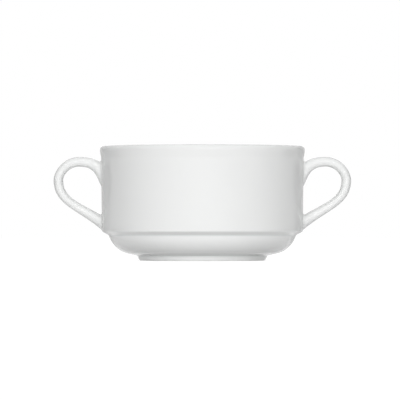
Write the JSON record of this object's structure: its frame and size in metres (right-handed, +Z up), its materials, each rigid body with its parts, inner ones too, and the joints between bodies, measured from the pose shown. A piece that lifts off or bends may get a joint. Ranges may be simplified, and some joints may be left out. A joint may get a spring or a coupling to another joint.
{
  "type": "bouillon cup",
  "caption": "Low stackable soup cup with a stepped bowl, a foot ring and a looped handle on either side.",
  "frame": {"origin": "centre of the foot ring, in the plane that the cup stands on", "axes": "+Z up along the cup's axis, X through both handles, and the front faces -Y"},
  "size_m": [0.151, 0.104, 0.058],
  "materials": {
    "glazed_porcelain": "clear gloss glaze over white porcelain, with an unglazed foot ring"
  },
  "bodies": {
    "root": {"bouillon_cup": "glazed_porcelain"}
  },
  "joints": []
}
